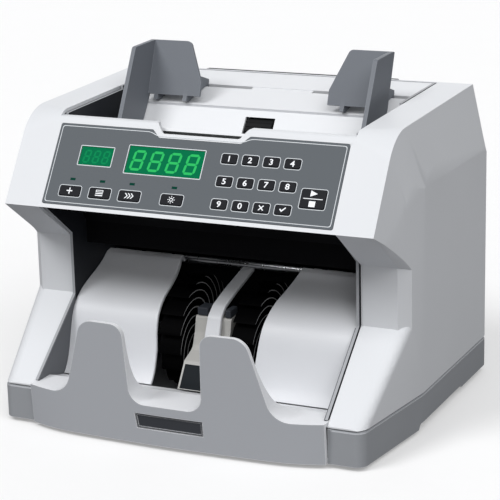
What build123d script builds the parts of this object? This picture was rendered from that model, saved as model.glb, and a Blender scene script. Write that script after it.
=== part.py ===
from build123d import *
import os
from math import atan2, cos, hypot, pi, radians, sin

# Banknote counting machine. Millimetres, +Z up, front towards -Y.
# The finished pieces have their origin at the centre of the footprint, on the desk.

# ---------------------------------------------------------------- driving dimensions
MIDDLE_Y = 0.75             # middle of the footprint, in the y used below
HALF_WIDTH = 145.0          # side planes of the housing
REAR = 121.5                # rear face
CREASE_Y = -16.5            # where the sides start to taper in plan
TOE_Y = -101.5              # front of the ramps and of the base
TOE_X = 134.3               # half width there
SKIRT_Z = 3.0               # lowest edge of the base skirt
SEAM_Z = 28.0               # underside of the housing
WALL = 2.5                  # moulded wall thickness
CHEEK_IN = 110.0            # inner edge of the cheeks, pillars and ramps
CHEEK_OUT = 135.8           # where the flat cheek meets the bevel
PILLAR_Y = -41.3            # front face of the pillars
PILLAR_TOP = 121.0
PILLAR_FOOT = 79.0
TOP_REAR = 216.5            # rear top edge
PANEL_FOOT = (-84.3, 152.2)     # y, z of the lower edge of the front panel
PANEL_LEAN = 33.4               # degrees back from vertical
FRAME_X = 107.5             # inner face of the steel side frames
FRAME_T = 2.0
DECK = 10.0                 # top of the base floor
TRAY_RIM = 31.5             # lowest edge of the tray front
TRAY_REAR = (-66.0, 26.0)   # y, z of the rear edge of the pocket floor
LEAN = radians(PANEL_LEAN)
UP = (sin(LEAN), cos(LEAN))     # y, z along the panel, upwards
OUT = (-cos(LEAN), sin(LEAN))   # y, z out of the panel
PANEL = Plane(
    origin=(0, *PANEL_FOOT), x_dir=(1, 0, 0), z_dir=(0, *OUT)
)
HOPPER_CREASE = (48.5, 202.0)   # y, z where the two hopper plates meet
HOPPER_REAR = (109.0, 215.9)
FEED_FOOT = (35.0, 183.5)       # lower edge of the steep hopper plate
KICKER = (48.5, 182.9)       # y, z of the shaft centres
FEED = (20.0, 160.0)
RETARD = (-7.0, 151.0)
STACKER = (-14.5, 52.5)
MOTOR = (72.0, 62.0)
KICKER_R, FEED_R, RETARD_R, WHEEL_R = 12.0, 20.0, 8.0, 40.0
SHAFT_R = 4.0
BUSH_R = 7.0
RUNNING = 0.05              # radial clearance of a shaft in its bush
WHEEL_X = 27.5              # centre of each stacker wheel
WHEEL_W = 17.0

os.makedirs("parts", exist_ok=True)


# ---------------------------------------------------------------- helpers
def finish(piece, name):
    """Centre a finished piece on the footprint, label it and write it as its own STEP file."""
    placed = piece.part.moved(Location((0, -MIDDLE_Y, 0)))
    placed.label = name
    export_step(placed, f"parts/{name}.step")


def outline(plane, points, rounds=()):
    """A closed polygon face on a plane; rounds lists (point index, radius)."""
    with BuildSketch(plane) as face:
        with BuildLine():
            Polyline(*points, close=True)
        make_face()
        for index, radius in rounds:
            fillet(face.vertices().sort_by_distance(points[index])[0], radius)
    return face.sketch


def side_view(x, points, rounds=()):
    """A profile of (y, z) points on the plane at x, ready to extrude along +X."""
    return outline(Plane.YZ.offset(x), points, rounds)


def front_view(y, points, rounds=()):
    """A profile of (x, z) points on the plane at y, ready to extrude along -Y."""
    return outline(Plane.XZ.offset(-y), points, rounds)


def strip(path, thickness):
    """The closed outline of a sheet that follows the (y, z) path, thickness to its right."""
    back = []
    for i, (y, z) in enumerate(path):
        before = path[max(i - 1, 0)]
        after = path[min(i + 1, len(path) - 1)]
        dy, dz = after[0] - before[0], after[1] - before[1]
        run = hypot(dy, dz)
        turn = 1.0
        if 0 < i < len(path) - 1:
            a = atan2(z - before[1], y - before[0])
            b = atan2(after[1] - z, after[0] - y)
            turn = cos((b - a) / 2)
        back.append((y + dz / run * thickness / turn, z - dy / run * thickness / turn))
    return path + back[::-1]


def disc(x, centre, radius, inner=0.0):
    """A round or ring face in the side view, centred on (y, z)."""
    with BuildSketch(Plane.YZ.offset(x)) as face:
        with Locations(centre):
            Circle(radius)
            if inner:
                Circle(inner, mode=Mode.SUBTRACT)
    return face.sketch


def plan(z, inset, corner=8.0, rear_corner=6.0):
    """The outline of the base and housing seen from above, set in by inset."""
    x, rear, toe = HALF_WIDTH - inset, REAR - inset, TOE_Y + inset
    points = [(x, rear), (x, CREASE_Y), (TOE_X - inset, toe),
              (-TOE_X + inset, toe), (-x, CREASE_Y), (-x, rear)]
    rounds = [(0, rear_corner - inset), (2, corner - inset),
              (3, corner - inset), (5, rear_corner - inset)]
    return outline(Plane.XY.offset(z), points, rounds)


# ---------------------------------------------------------------- base
RAISED_Z = 7.5              # underside of the base floor and of the scalloped skirt
SEAM_GAP = 0.8
with BuildPart() as base_tray:
    extrude(plan(SKIRT_Z, 0), amount=SEAM_Z - SEAM_GAP - SKIRT_Z)
    rim = base_tray.faces().sort_by(Axis.Z)[-1].outer_wire().edges()
    chamfer(rim, 1.3)
    extrude(plan(DECK, 4.0), amount=30, mode=Mode.SUBTRACT)
    extrude(plan(SKIRT_Z, 2.5), amount=RAISED_Z - SKIRT_Z, mode=Mode.SUBTRACT)
    # The locating lip inside the seam.
    extrude(plan(20.0, 2.8), amount=10.0)
    extrude(plan(DECK, 4.0), amount=30, mode=Mode.SUBTRACT)
    with BuildSketch(Plane.XY.offset(SEAM_Z - SEAM_GAP)):
        with Locations((0, -105)):
            Rectangle(300, 44)
    extrude(amount=20, mode=Mode.SUBTRACT)
    # The scalloped lower edge of the skirt along each side.
    high, low = RAISED_Z - 0.6, SKIRT_Z + 2.4
    scallop = [(-24.5, 0), (-20.5, high), (62.5, high), (64.5, low), (130, low), (130, 0)]
    extrude(side_view(-150, scallop, [(1, 3), (2, 1)]), amount=300, mode=Mode.SUBTRACT)
    # The front is open between the toes for the front tray, and the toes have inner walls.
    with BuildSketch(Plane.XY.offset(0)):
        with Locations((0, -95)):
            Rectangle(2 * CHEEK_IN, 60)
    extrude(amount=60, mode=Mode.SUBTRACT)
    for side in (-1, 1):
        wall = front_view(-65, [(side * CHEEK_IN, SKIRT_Z), (side * (CHEEK_IN + WALL), SKIRT_Z),
                                (side * (CHEEK_IN + WALL), SEAM_Z - SEAM_GAP),
                                (side * CHEEK_IN, SEAM_Z - SEAM_GAP)])
        extrude(wall, amount=-TOE_Y - 65)
    with BuildSketch(Plane.XY.offset(RAISED_Z)):
        with Locations((0, -80)):
            Rectangle(2 * CHEEK_IN, 34)
    extrude(amount=DECK - RAISED_Z)
    # The rear wall is cut down for the rear panel.
    with BuildSketch(Plane.XY.offset(DECK)):
        with Locations((0, REAR)):
            Rectangle(124, 12)
    extrude(amount=40, mode=Mode.SUBTRACT)
    # Holes for the feet's pegs and for the frame screws.
    with BuildSketch(Plane.XY):
        with GridLocations(190, 170, 2, 2):
            Circle(3.0)
        with GridLocations(204, 112, 2, 2):
            Circle(1.6)
    extrude(amount=20, mode=Mode.SUBTRACT)
finish(base_tray, "base_tray")


# ---------------------------------------------------------------- upper housing
CHEEK_CORNER = (PANEL_FOOT[0] + 59.4 / UP[1] * UP[0], 211.6)
SIDE_TOP = 171.0            # upper edge of the flat side plane


def wing_profile(x, inset, bottom):
    """The (y, z) outline of a side wing at x, set in by inset, running down to bottom."""
    top_radius = 14.0 if x <= CHEEK_IN else 36.0
    if x > CHEEK_OUT:
        points = [(REAR, bottom), (REAR, 160.0), (REAR - 8.0, SIDE_TOP), (-34.0, SIDE_TOP - 1.0),
                  (-32.5, 124.0), (-31.0, 118.0), (-31.0, bottom)]
        top_radius = 22.0
    else:
        points = [(REAR, bottom), (REAR, 189.0), (REAR - 10.0, TOP_REAR), CHEEK_CORNER,
                  PANEL_FOOT, (PILLAR_Y, PILLAR_TOP), (PILLAR_Y, bottom)]
    with BuildSketch(Plane.YZ.offset(x)) as face:
        with BuildLine():
            Polyline(*points, close=True)
        make_face()
        fillet(face.vertices().sort_by_distance(points[3])[0], top_radius)
        if inset:
            offset(amount=-inset, kind=Kind.INTERSECTION, mode=Mode.REPLACE)
    return face.sketch


def ramp(inset):
    """The solid ramp in front of the right pillar, or its hollow, rounded along its outer edge."""
    back = -30.0
    fall = (PILLAR_FOOT - SEAM_Z - 1.0) / (PILLAR_Y - TOE_Y)
    narrowing = (HALF_WIDTH - TOE_X) / (CREASE_Y - TOE_Y)
    along = Vector(-narrowing, -1.0, -fall).normalized()
    crest_x = HALF_WIDTH - inset - narrowing * (CREASE_Y - back)
    crest_z = PILLAR_FOOT + fall * (back - PILLAR_Y) - inset * hypot(1, fall)
    section = front_view(back, [(CHEEK_IN, -120), (crest_x, -120), (crest_x, crest_z), (CHEEK_IN, crest_z)],
                         [(2, 9.0 - inset)])
    with BuildPart() as solid:
        extrude(section, amount=110, dir=tuple(along))
        with BuildSketch(Plane.XY.offset(SEAM_Z - 10 * inset)):
            with Locations((CHEEK_IN + 30, (back + TOE_Y + inset) / 2)):
                Rectangle(60, back - TOE_Y - inset)
        extrude(amount=100, mode=Mode.INTERSECT)
        extrude(plan(-50, inset), amount=300, mode=Mode.INTERSECT)
    return solid.part


def wing(inset, bottom):
    """The solid side wing above the seam, or its hollow."""
    planes = (CHEEK_IN, CHEEK_OUT - inset / 3, HALF_WIDTH - inset)
    with BuildPart() as solid:
        loft([wing_profile(x, inset, bottom) for x in planes], ruled=True)
        extrude(plan(-50, inset), amount=300, mode=Mode.INTERSECT)
    return solid.part


# Places on the front panel: x, and s upwards from its lower edge.
OVERLAY_S = 3.0
OVERLAY_W, OVERLAY_H = 214.4, 58.9
NOTCH_TOP, NOTCH_FOOT, NOTCH_S = 36.3, 30.7, 56.2
COLUMNS = [24.8 + 15.2 * i for i in range(4)]
ROWS = [OVERLAY_S + 42.2 - 16.0 * i for i in range(3)]
FUNCTION_X = [-87.7, -64.7, -42.0, -10.2]
SMALL_KEY, MODE_KEY, START_KEY = (10.8, 6.3), (15.8, 7.0), (17.2, 12.8)
KEYS = {
    "key_1": (COLUMNS[0], ROWS[0], SMALL_KEY), "key_2": (COLUMNS[1], ROWS[0], SMALL_KEY),
    "key_3": (COLUMNS[2], ROWS[0], SMALL_KEY), "key_4": (COLUMNS[3], ROWS[0], SMALL_KEY),
    "key_5": (COLUMNS[0], ROWS[1], SMALL_KEY), "key_6": (COLUMNS[1], ROWS[1], SMALL_KEY),
    "key_7": (COLUMNS[2], ROWS[1], SMALL_KEY), "key_8": (COLUMNS[3], ROWS[1], SMALL_KEY),
    "key_9": (COLUMNS[0], ROWS[2], SMALL_KEY), "key_0": (COLUMNS[1], ROWS[2], SMALL_KEY),
    "key_clear": (COLUMNS[2], ROWS[2], SMALL_KEY), "key_set": (COLUMNS[3], ROWS[2], SMALL_KEY),
    "key_add": (FUNCTION_X[0], ROWS[2], MODE_KEY), "key_batch": (FUNCTION_X[1], ROWS[2], MODE_KEY),
    "key_speed": (FUNCTION_X[2], ROWS[2], MODE_KEY), "key_lamp": (FUNCTION_X[3], ROWS[2], MODE_KEY),
    "key_start_stop": (89.8, OVERLAY_S + 19.4, START_KEY),
}
KEY_GAP = 0.35
SMALL_DISPLAY = (-74.5, OVERLAY_S + 36.6, 25.2, 13.6)
LARGE_DISPLAY = (-22.1, OVERLAY_S + 36.5, 57.0, 19.8)
LED_S = OVERLAY_S + 18.9
LED_SIZE = (4.0, 1.8)
PLATE_T = 3.0               # thickness of the front panel
RECESS = 0.6                # depth of the pocket that the overlay lies in
OVERLAY_T = 0.8


def overlay_face(margin, depth):
    """The overlay's outline with its notch, grown by margin, on the panel at depth."""
    w, top = OVERLAY_W / 2 + margin, OVERLAY_S + OVERLAY_H + margin
    low = OVERLAY_S - margin
    notch = NOTCH_S + margin
    points = [(-w, low), (w, low), (w, top), (NOTCH_TOP - margin, top), (NOTCH_FOOT - margin, notch),
              (margin - NOTCH_FOOT, notch), (margin - NOTCH_TOP, top), (-w, top)]
    return outline(PANEL.offset(depth), points,
                   [(0, 1.5), (1, 1.5), (2, 1.5), (3, 2.5), (4, 3.0), (5, 3.0), (6, 2.5), (7, 1.5)])


def panel_openings(gap):
    """Openings in the panel for keys, displays and lamps, on the panel's own plane."""
    with BuildSketch(PANEL) as face:
        for x, s, (w, h) in KEYS.values():
            with Locations((x, s)):
                RectangleRounded(w + 2 * gap, h + 2 * gap, 1.0 + gap)
        for x, s, w, h in (SMALL_DISPLAY, LARGE_DISPLAY):
            with Locations((x, s)):
                Rectangle(w, h)
        for x in FUNCTION_X:
            with Locations((x, LED_S)):
                Rectangle(*LED_SIZE)
    return face.sketch


def panel_point(s, depth):
    """The (y, z) place s up the panel and depth behind it."""
    return (PANEL_FOOT[0] + s * UP[0] - depth * OUT[0], PANEL_FOOT[1] + s * UP[1] - depth * OUT[1])


LIP_REAR = (-42.0, 208.2)
REAR_OPENING = (120.0, 100.0, 34.0)     # width, top and foot of the opening for the rear panel
with BuildPart() as upper_housing:
    # One hollow wing: cheek, bevelled side, pillar and ramp.
    add(wing(0, SEAM_Z))
    add(ramp(0))
    add(wing(WALL, SEAM_Z - 20), mode=Mode.SUBTRACT)
    add(ramp(WALL), mode=Mode.SUBTRACT)
    mirror(about=Plane.YZ)
    # The front panel, its upper lip and the turned-in lower edge.
    lip_front = (panel_point(0, 0)[0] + (LIP_REAR[1] - PANEL_FOOT[1]) * UP[0] / UP[1], LIP_REAR[1])
    front = [PANEL_FOOT, lip_front, LIP_REAR, (LIP_REAR[0], LIP_REAR[1] - PLATE_T),
             panel_point(62.0, PLATE_T), panel_point(6.0, PLATE_T), panel_point(5.0, 9.0),
             panel_point(3.0, 9.0)]
    extrude(side_view(-CHEEK_IN, front, [(1, 3.0)]), amount=2 * CHEEK_IN)
    # The rear wall and its sloping upper edge.
    rear = [(REAR, SEAM_Z), (REAR, 189.0), (REAR - 10, TOP_REAR), (REAR - 12.2, TOP_REAR),
            (REAR - WALL, 189.0), (REAR - WALL, SEAM_Z)]
    extrude(side_view(-CHEEK_IN, rear), amount=2 * CHEEK_IN)
    # Pocket for the overlay, its openings, and the notch in the lip.
    extrude(overlay_face(0.25, 0), amount=-RECESS, mode=Mode.SUBTRACT)
    extrude(panel_openings(KEY_GAP), amount=-2 * PLATE_T, mode=Mode.SUBTRACT)
    notch = [(-35.5, 75), (-34.5, 68), (-28.5, 59.6), (28.5, 59.6), (34.5, 68), (35.5, 75)]
    extrude(outline(PANEL.offset(6), notch, [(2, 3), (3, 3)]), amount=-20, mode=Mode.SUBTRACT)
    # Opening for the rear panel and for the handle's screws.
    width, top, foot = REAR_OPENING
    with BuildSketch(Plane.XZ.offset(-REAR - 1)):
        with Locations((0, (top + SEAM_Z) / 2)):
            Rectangle(width, top - SEAM_Z + 10)
    extrude(amount=10, mode=Mode.SUBTRACT)
    # Hand recess in the sloping rear edge, under the handle.
    half = 56.0
    grip = [(113.2, 209.0), (103.0, 204.0), (103.0, 194.0), (119.2, 190.3)]
    extrude(side_view(-half, grip + [(125.0, 190.3), (125.0, 209.0)]), amount=2 * half, mode=Mode.SUBTRACT)
    extrude(side_view(-half, strip(grip, 2.0)), amount=2 * half)
    cap = [(112.0, 211.0), (101.0, 205.5), (101.0, 192.5), (119.0, 188.3)]
    for x in (-half - 2, half):
        extrude(side_view(x, cap), amount=2)
finish(upper_housing, "upper_housing")


# ---------------------------------------------------------------- panel parts
with BuildPart() as keypad_overlay:
    extrude(overlay_face(0, -RECESS), amount=OVERLAY_T)
    extrude(panel_openings(KEY_GAP), amount=5, both=True, mode=Mode.SUBTRACT)
finish(keypad_overlay, "keypad_overlay")

with BuildPart() as display_windows:
    for x, s, w, h in (SMALL_DISPLAY, LARGE_DISPLAY):
        with BuildSketch(PANEL.offset(-RECESS - 2.2)):
            with Locations((x, s)):
                Rectangle(w, h)
        extrude(amount=2.1)
finish(display_windows, "display_windows")

with BuildPart() as indicator_lenses:
    with BuildSketch(PANEL.offset(-PLATE_T)):
        for x in FUNCTION_X:
            with Locations((x, LED_S)):
                Rectangle(*LED_SIZE)
    extrude(amount=PLATE_T + 0.1)
finish(indicator_lenses, "indicator_lenses")

BOARD_DEPTH = 8.0
with BuildPart() as panel_board:
    with BuildSketch(PANEL.offset(-BOARD_DEPTH)):
        with Locations((0, 31.0)):
            Rectangle(205, 50)
    extrude(amount=-1.6)
    with BuildSketch(PANEL.offset(-BOARD_DEPTH)):
        for x, s, size in KEYS.values():
            with Locations((x, s)):
                Rectangle(6, 5)
    extrude(amount=2.6)
    with BuildSketch(PANEL.offset(-BOARD_DEPTH)):
        for x, s, w, h in (SMALL_DISPLAY, LARGE_DISPLAY):
            with Locations((x, s)):
                Rectangle(w - 1, h - 1)
    extrude(amount=BOARD_DEPTH - RECESS - 2.4)
finish(panel_board, "panel_board")

KEY_PROUD = 0.9
for name, (x, s, (w, h)) in KEYS.items():
    with BuildPart() as key:
        with BuildSketch(PANEL.offset(-PLATE_T - 0.3)):
            with Locations((x, s)):
                RectangleRounded(w, h, 1.0)
        extrude(amount=PLATE_T + 0.3 + KEY_PROUD)
        chamfer(key.faces().filter_by(PANEL).sort_by(Axis((0, 0, 0), (0, *OUT)))[-1].edges(), 0.35)
        with BuildSketch(PANEL.offset(-PLATE_T - 0.3)):
            with Locations((x, s)):
                RectangleRounded(w + 1.4, h + 1.4, 1.2)
        extrude(amount=-0.8)
    finish(key, name)


# ---------------------------------------------------------------- steel frame
FRAME_SIDE = [(-99.5, 32.4), (-43.5, 78.9), (-43.5, 123.9), panel_point(2.0, 9.5), panel_point(7.0, 9.5),
              panel_point(7.0, 4.0), panel_point(62.0, 4.0), (-40.8, 202.5), (-40.8, 209.2),
              (38.5, 211.7), (38.5, 214.5), (107.0, 216.6), (117.0, 188.5), (117.0, DECK),
              (-57.0, DECK), (-57.0, 32.4)]
FLANGE_X = 102.0            # line of the frame screws
SCREW_R = 1.6
BUSHED = (FEED, KICKER, RETARD, STACKER)


def side_frame(side):
    """A steel side plate with turned-in feet, bored for the shafts."""
    inner = side * FRAME_X
    with BuildPart() as plate:
        extrude(side_view(inner, FRAME_SIDE), amount=side * FRAME_T)
        for y in (-60 + 8, 60):
            with BuildSketch(Plane.XY.offset(DECK)):
                with Locations((side * (FLANGE_X + 0.5), y)):
                    Rectangle(12, 18)
            extrude(amount=FRAME_T)
        for centre in BUSHED:
            extrude(disc(inner - side * 5, centre, BUSH_R), amount=side * 10, mode=Mode.SUBTRACT)
        if side > 0:
            extrude(disc(inner - 5, MOTOR, 12.0), amount=10, mode=Mode.SUBTRACT)
        with BuildSketch(Plane.XY):
            with GridLocations(2 * FLANGE_X, 112, 2, 2):
                Circle(SCREW_R)
        extrude(amount=20, mode=Mode.SUBTRACT)
    return plate


side_frame_left = side_frame(-1)
finish(side_frame_left, "side_frame_left")
side_frame_right = side_frame(1)
finish(side_frame_right, "side_frame_right")

with BuildPart() as chassis_screws:
    for z, radius, length in ((5.0, SCREW_R - 0.05, 8.0), (DECK + FRAME_T, 3.0, 2.2)):
        with BuildSketch(Plane.XY.offset(z)):
            with GridLocations(2 * FLANGE_X, 112, 2, 2):
                Circle(radius)
        extrude(amount=length)
    with BuildSketch(Plane.XY.offset(DECK + FRAME_T + 2.2)):
        with GridLocations(2 * FLANGE_X, 112, 2, 2):
            Rectangle(4.0, 0.8)
            Rectangle(0.8, 4.0)
    extrude(amount=-1.2, mode=Mode.SUBTRACT)
finish(chassis_screws, "chassis_screws")

CROSSBAR = (18.0, 94.0)
ROD_R = 3.0
with BuildPart() as tie_rods:
    for centre in (CROSSBAR, (32.0, 18.0), (85.0, 188.0)):
        extrude(disc(-FRAME_X, centre, ROD_R), amount=2 * FRAME_X)
finish(tie_rods, "tie_rods")

with BuildPart() as shaft_bushes:
    for side in (-1, 1):
        for centre in BUSHED:
            start = side * (FRAME_X - 1.5)
            extrude(disc(start, centre, BUSH_R, SHAFT_R + RUNNING), amount=side * (FRAME_T + 3.0))
            extrude(disc(start, centre, BUSH_R + 1.5, SHAFT_R + RUNNING), amount=side * 1.5)
finish(shaft_bushes, "shaft_bushes")

with BuildPart() as rubber_feet:
    for z, radius, length in ((0, 9.0, RAISED_Z), (RAISED_Z, 3.0, 4.0)):
        with BuildSketch(Plane.XY.offset(z)):
            with GridLocations(190, 170, 2, 2):
                Circle(radius)
        extrude(amount=length)
    chamfer(rubber_feet.edges().filter_by(GeomType.CIRCLE).group_by(Axis.Z)[0], 1.0)
finish(rubber_feet, "rubber_feet")


# ---------------------------------------------------------------- note pocket
TRAY_X = 109.7
TRAY_BOW = [(-TRAY_X, -103.8), (-85, -110.5), (-57, -112.5), (0, -114),
            (57, -112.5), (85, -110.5), (TRAY_X, -103.8)]
TRAY_LEAN = 0.08            # forward lean of the tray front, per mm of height
TRAY_WALL = 3.0
TRAY_SHAPE = [(26.5, TRAY_RIM, 11), (28.8, 87, 9), (60.5, 87, 12), (76.9, TRAY_RIM, 16)]
TRAY_BACK = [(-117.2, 92), (-114.4, 68), (-110.5, 54), (-104.0, 43), (-95.0, 36), (-82.0, 30.5), TRAY_REAR]
BADGE = [(-22.4, 14.4), (27.0, 14.4), (26.8, 25.1), (-23.8, 25.1)]


def bowed(z, depth, thickness):
    """The plan of the bowed tray front, set back by depth and thickness deep."""
    near = [(x, y + depth) for x, y in TRAY_BOW]
    far = [(x, y + thickness) for x, y in reversed(near)]
    with BuildSketch(Plane.XY.offset(z)) as face:
        with BuildLine():
            Spline(*near)
            Line(near[-1], far[0])
            Spline(*far)
            Line(far[-1], near[0])
        make_face()
    return face.sketch


def tray_silhouette(y):
    """The front view of the tray wall: low in the middle and at the ends, two raised wings."""
    half = [(x, z) for x, z, _ in TRAY_SHAPE]
    points = [(-TRAY_X, SKIRT_Z), (TRAY_X, SKIRT_Z), (TRAY_X, TRAY_RIM)]
    points += half[::-1] + [(-x, z) for x, z in half] + [(-TRAY_X, TRAY_RIM)]
    rounds = []
    for i, (x, z, radius) in enumerate(TRAY_SHAPE):
        rounds += [(6 - i, radius), (7 + i, radius)]
    return front_view(y, points, rounds)


def tray_back(x):
    """The side view of the tray's inner face, sweeping down from the wings to the pocket floor."""
    rear, low = TRAY_REAR
    with BuildSketch(Plane.YZ.offset(x)) as face:
        with BuildLine():
            Spline(*TRAY_BACK, tangents=((0.1, -1), (1, -0.2)))
            Polyline(TRAY_REAR, (rear, low - 2.2), (-82, TRAY_RIM - 3), (-125, TRAY_RIM - 3), (-125, 92),
                     TRAY_BACK[0])
        make_face()
    return face.sketch


with BuildPart() as front_tray:
    lean = Vector(0, -TRAY_LEAN, 1).normalized()
    extrude(bowed(SKIRT_Z, 0, 60), amount=92, dir=tuple(lean))
    extrude(tray_back(-TRAY_X), amount=2 * TRAY_X, mode=Mode.INTERSECT)
    extrude(bowed(SKIRT_Z, 0, TRAY_WALL), amount=92, dir=tuple(lean))
    # The feet of the pocket floor.
    for x in (-70, -25, 25, 70):
        leg = [(-98, DECK), (-68, DECK), (-68, 25.5), (-82, 29), (-98, 30)]
        extrude(side_view(x - 1, leg), amount=2)
    extrude(tray_silhouette(-57), amount=90, mode=Mode.INTERSECT)
    # Recess for the badge.
    extrude(front_view(-150, BADGE), amount=-150 + 113.4, mode=Mode.SUBTRACT)
finish(front_tray, "front_tray")

BADGE_Y = -113.4            # back of the badge recess
with BuildPart() as name_badge:
    inset = 0.35
    plate = [(x + inset * (1 if x < 0 else -1), z + inset * (1 if z < 20 else -1)) for x, z in BADGE]
    extrude(front_view(BADGE_Y, plate, [(0, 1), (1, 1), (2, 1), (3, 1)]), amount=1.2)
    rim = [(x + 1.1 * (1 if x < 0 else -1), z + 1.1 * (1 if z < 20 else -1)) for x, z in plate]
    extrude(front_view(BADGE_Y - 1.2, rim), amount=-0.3, mode=Mode.SUBTRACT)
finish(name_badge, "name_badge")

PANEL_T = 2.5
PANEL_PATH = [(-65.4, 26.6), (-60.5, 33), (-56.5, 43), (-53.0, 56), (-47.5, 70), (-38, 79),
              (-19, 87.4), (3.5, 98.5)]
PANEL_LIP = [(9.0, 99.6), (10.5, 95.5)]
PANEL_EDGE = [(37.7, 20), (37.7, 48), (40.0, 73), (41.5, 84), (46.8, 98.5), (46.8, 110),
              (107.2, 110), (107.2, 20)]
with BuildPart() as stacker_panel_right:
    outer = PANEL_PATH + PANEL_LIP
    sheet = strip(outer, PANEL_T)
    inner = sheet[len(outer):]
    with BuildSketch(Plane.YZ.offset(37)) as section:
        with BuildLine():
            Spline(*PANEL_PATH)
            Polyline(PANEL_PATH[-1], *PANEL_LIP, *inner[:3])
            Spline(*inner[2:])
            Line(inner[-1], PANEL_PATH[0])
        make_face()
    extrude(section.sketch, amount=71)
    extrude(front_view(-100, PANEL_EDGE), amount=-150, mode=Mode.INTERSECT)
finish(stacker_panel_right, "stacker_panel_right")
with BuildPart() as stacker_panel_left:
    add(mirror(stacker_panel_right.part, about=Plane.YZ, mode=Mode.PRIVATE))
finish(stacker_panel_left, "stacker_panel_left")

RIB_X, RIB_W, RIB_T = 2.0, 11.4, 3.0
RIB_PATH = [(-51.0, 51.5), (-46.8, 64), (-43.0, 73.5), (-35.0, 80), (-18.0, 85.6), (14.5, 94)]
RIB_ROUNDS = [(1, 14), (2, 8), (3, 10), (4, 30)]


def rib_sheet(lift, thickness):
    """The side view of the rib, lifted and made thicker."""
    raised = [(y, z + lift) for y, z in RIB_PATH]
    return strip(raised, thickness)


with BuildPart() as stacker_rib:
    extrude(side_view(RIB_X - RIB_W / 2, rib_sheet(0, RIB_T), RIB_ROUNDS), amount=RIB_W)
    taper = [(RIB_X - 4.2, 100), (RIB_X + 4.2, 100), (RIB_X + RIB_W / 2, 60), (RIB_X + RIB_W / 2, 40),
             (RIB_X - RIB_W / 2, 40), (RIB_X - RIB_W / 2, 60)]
    extrude(front_view(60, taper), amount=140, mode=Mode.INTERSECT)
finish(stacker_rib, "stacker_rib")

SENSOR_HALF = 13.5
TOE_TOP, TOE_LOW = (-60.0, 45.5), (-71.6, 28.8)     # y, z of the sensor's sloping window
SENSOR_FACE = Plane(
    origin=(0, *TOE_LOW), x_dir=(1, 0, 0),
    z_dir=(0, TOE_LOW[1] - TOE_TOP[1], TOE_TOP[0] - TOE_LOW[0])
)
WINDOW_W, WINDOW_H, WINDOW_DEEP = 24.6, 17.6, 1.2
with BuildPart() as sensor_block:
    body = [TOE_LOW, TOE_TOP, (-47.0, 50.5), (-42.6, 61.4), (-40.0, 72), (-27, 73), (-27, DECK),
            (-62.5, DECK), (-62.5, 26.8)]
    extrude(side_view(-SENSOR_HALF, body, [(1, 3), (2, 8), (4, 2)]), amount=2 * SENSOR_HALF)
    slot = side_view(RIB_X - RIB_W / 2 - 0.3, rib_sheet(0.6, RIB_T + 1.2), RIB_ROUNDS)
    extrude(slot, amount=RIB_W + 0.6, mode=Mode.SUBTRACT)
    with BuildSketch(SENSOR_FACE):
        with Locations((0, WINDOW_H / 2 + 0.4)):
            Rectangle(WINDOW_W, WINDOW_H)
    extrude(amount=-WINDOW_DEEP, mode=Mode.SUBTRACT)
finish(sensor_block, "sensor_block")

with BuildPart() as sensor_window:
    with BuildSketch(SENSOR_FACE.offset(-WINDOW_DEEP)):
        with Locations((0, WINDOW_H / 2 + 0.4)):
            Rectangle(WINDOW_W - 0.2, WINDOW_H - 0.2)
    extrude(amount=WINDOW_DEEP - 0.3)
finish(sensor_window, "sensor_window")


# ---------------------------------------------------------------- stacker wheels
VANES = 18
VANE_T = 1.0


def vane(x):
    """One curved vane of a stacker wheel, swept back as it goes out."""
    inner, outer = [], []
    for radius, turn in ((12, 0), (19, 8), (26, 22), (33, 42), (WHEEL_R, 68)):
        a = radians(turn)
        edge = VANE_T / 2 / radius * (1.0 if radius < 30 else 1.25)
        for points, angle in ((inner, a - edge), (outer, a + edge)):
            points.append((STACKER[0] + radius * cos(angle), STACKER[1] + radius * sin(angle)))
    with BuildSketch(Plane.YZ.offset(x)) as face:
        with BuildLine():
            Spline(*inner)
            Line(inner[-1], outer[-1])
            Spline(*outer[::-1])
            Line(outer[0], inner[0])
        make_face()
    return face.sketch


def stacker_wheel(x):
    """A soft wheel: hub with raised boss and a ring of curved vanes."""
    start = x - WHEEL_W / 2
    with BuildPart() as wheel:
        extrude(disc(start, STACKER, 13.0, SHAFT_R), amount=WHEEL_W)
        blade = extrude(vane(start), amount=WHEEL_W, mode=Mode.PRIVATE)
        axis = Axis((0, *STACKER), (1, 0, 0))
        for i in range(VANES):
            add(blade.rotate(axis, 360 / VANES * i))
    return wheel


stacker_wheel_right = stacker_wheel(WHEEL_X)
finish(stacker_wheel_right, "stacker_wheel_right")
stacker_wheel_left = stacker_wheel(-WHEEL_X)
finish(stacker_wheel_left, "stacker_wheel_left")


# ---------------------------------------------------------------- feed drive
SHAFT_END = FRAME_X + 4.0   # left end of every shaft, outside its bush
LAYERS = {"a": 113.0, "b": 122.0, "c": 131.0}   # inner faces of the three belt lanes
PULLEY_W, FLANGE_T, FLANGE_H = 7.5, 1.0, 2.5
BELT_T, BELT_GAP = 1.5, 0.35
BELT_STEPS = 24
MOTOR_SHAFT_R = 3.0


def pulley(layer, centre, radius):
    """A flanged belt pulley, without its bore."""
    start = LAYERS[layer]
    with BuildPart() as wheel:
        extrude(disc(start, centre, radius), amount=PULLEY_W)
        for x in (start, start + PULLEY_W - FLANGE_T):
            extrude(disc(x, centre, radius + FLANGE_H), amount=FLANGE_T)
    return wheel.part


with BuildPart() as feed_shaft:
    extrude(disc(-SHAFT_END, FEED, SHAFT_R), amount=SHAFT_END + LAYERS["b"] + PULLEY_W)
    add(pulley("a", FEED, 15.0))
    add(pulley("b", FEED, 9.0))
finish(feed_shaft, "feed_shaft")

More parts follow.
